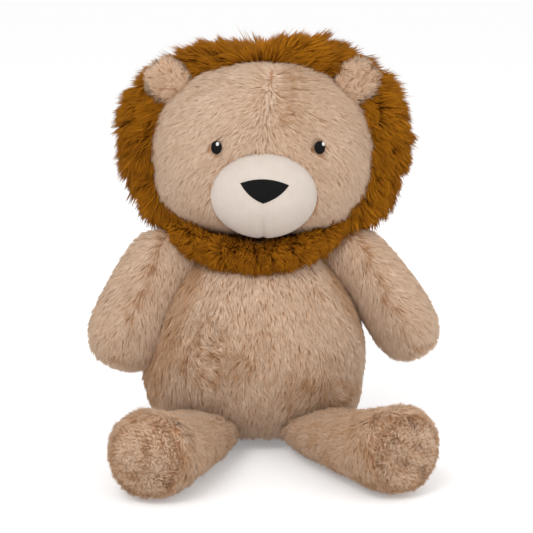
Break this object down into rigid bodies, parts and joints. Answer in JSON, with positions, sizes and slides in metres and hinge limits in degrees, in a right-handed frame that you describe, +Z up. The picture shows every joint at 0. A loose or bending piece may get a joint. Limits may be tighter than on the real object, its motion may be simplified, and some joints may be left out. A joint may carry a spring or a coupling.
{
  "type": "plush lion",
  "caption": "seated stuffed lion with a long-pile mane, a weighted base that sits upright, arms that swing forward, legs that lift, a nodding head, folding ears and a swinging tail",
  "frame": {"origin": "middle of the flat underside that the body sits on, at floor height", "axes": "-Y is the way the lion looks, +Z is up and its own left is at +X"},
  "size_m": [0.2529, 0.3304, 0.2819],
  "materials": {
    "tan_plush": "short ruffled pile, matt",
    "mustard_pile": "long layered pile, soft sheen",
    "cream_cloth": "fine woven cloth, matt",
    "dark_thread": "satin stitch, low sheen",
    "pale_thread": "satin stitch",
    "white_filling": "loose fibre",
    "calico": "plain woven cotton"
  },
  "bodies": {
    "torso": {"body_cover": "tan_plush", "body_stuffing": "white_filling", "pellet_bag": "calico"},
    "head": {"head_cover": "tan_plush", "head_stuffing": "white_filling", "mane": "mustard_pile", "mane_collar": "mustard_pile", "muzzle_cover": "cream_cloth", "muzzle_padding": "white_filling", "nose": "dark_thread", "eye_left": "dark_thread", "eye_right": "dark_thread", "eye_highlight_left": "pale_thread", "eye_highlight_right": "pale_thread"},
    "tail_body": {"tail": "tan_plush", "tail_tuft": "mustard_pile"},
    "arm_left": {"arm_cover_left": "tan_plush", "arm_stuffing_left": "white_filling"},
    "leg_left": {"leg_cover_left": "tan_plush", "foot_sole_left": "tan_plush", "leg_stuffing_left": "white_filling"},
    "ear_left_body": {"ear_left": "tan_plush"},
    "arm_right": {"arm_cover_right": "tan_plush", "arm_stuffing_right": "white_filling"},
    "leg_right": {"leg_cover_right": "tan_plush", "foot_sole_right": "tan_plush", "leg_stuffing_right": "white_filling"},
    "ear_right_body": {"ear_right": "tan_plush"}
  },
  "joints": [
    {"name": "head_nod", "type": "hinge", "parent": "torso", "child": "head", "pos_m": [0, 0, 0.1018], "axis": [1, 0, 0], "range_deg": [-8, 8], "stiffness_Nm_per_rad": 0.6},
    {"name": "tail_swing", "type": "hinge", "parent": "torso", "child": "tail_body", "pos_m": [0, 0.05478, 0.014], "axis": [0, 0, 1], "range_deg": [-35, 35]},
    {"name": "arm_left_swing", "type": "hinge", "parent": "torso", "child": "arm_left", "pos_m": [0.02049, 0, 0.1463], "axis": [-1, 0, 0], "range_deg": [0, 30]},
    {"name": "leg_left_lift", "type": "hinge", "parent": "torso", "child": "leg_left", "pos_m": [0.04857, -0.05485, 0.03528], "axis": [-0.8988, -0.4384, 0], "range_deg": [-40, 20]},
    {"name": "ear_left_fold", "type": "hinge", "parent": "head", "child": "ear_left_body", "pos_m": [0.05612, -0.01024, 0.24664], "axis": [0.5878, -0.1126, -0.8011], "range_deg": [0, 25], "stiffness_Nm_per_rad": 0.02},
    {"name": "arm_right_swing", "type": "hinge", "parent": "torso", "child": "arm_right", "pos_m": [-0.02049, 0, 0.1463], "axis": [-1, 0, 0], "range_deg": [0, 30]},
    {"name": "leg_right_lift", "type": "hinge", "parent": "torso", "child": "leg_right", "pos_m": [-0.0426, -0.05847, 0.03528], "axis": [-0.9703, 0.2419, 0], "range_deg": [-40, 20]},
    {"name": "ear_right_fold", "type": "hinge", "parent": "head", "child": "ear_right_body", "pos_m": [-0.04712, -0.01024, 0.24664], "axis": [0.5878, 0.1126, 0.8011], "range_deg": [0, 25], "stiffness_Nm_per_rad": 0.02}
  ]
}
